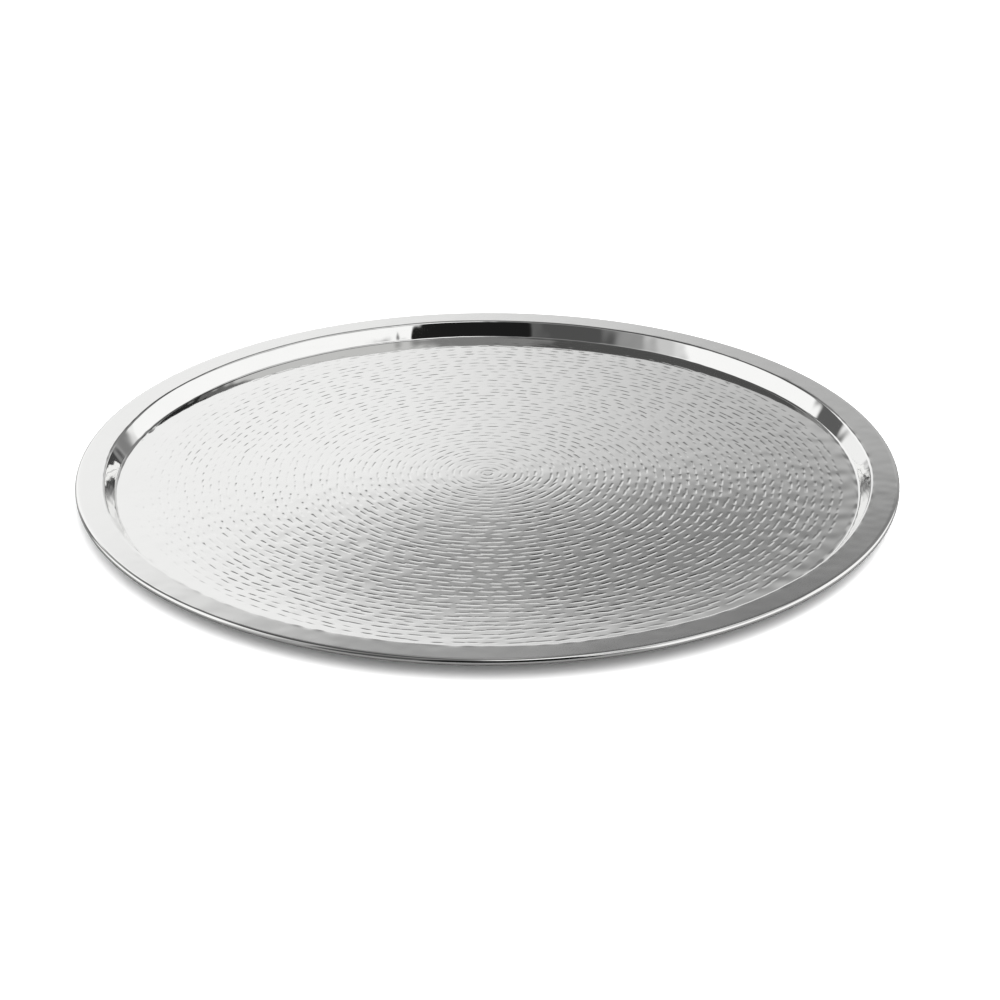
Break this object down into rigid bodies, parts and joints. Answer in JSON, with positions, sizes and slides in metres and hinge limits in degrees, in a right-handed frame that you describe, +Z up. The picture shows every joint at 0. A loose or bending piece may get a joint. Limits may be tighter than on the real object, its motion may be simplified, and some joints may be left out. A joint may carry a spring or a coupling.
{
  "type": "round hammered salver",
  "caption": "Flat round metal serving tray: hammered well, short sloping wall, narrow plain rim and a wired rolled edge.",
  "frame": {"origin": "centre of the flat underside, on the surface that the salver rests on", "axes": "+Z up through the middle of the well, which is the axis of symmetry; X and Y are any two diameters"},
  "size_m": [0.4499, 0.45, 0.0102],
  "materials": {
    "silver_plate": "polished",
    "edge_wire": "satin"
  },
  "bodies": {
    "root": {"tray_body": "silver_plate", "rim_wire": "edge_wire"}
  },
  "joints": []
}
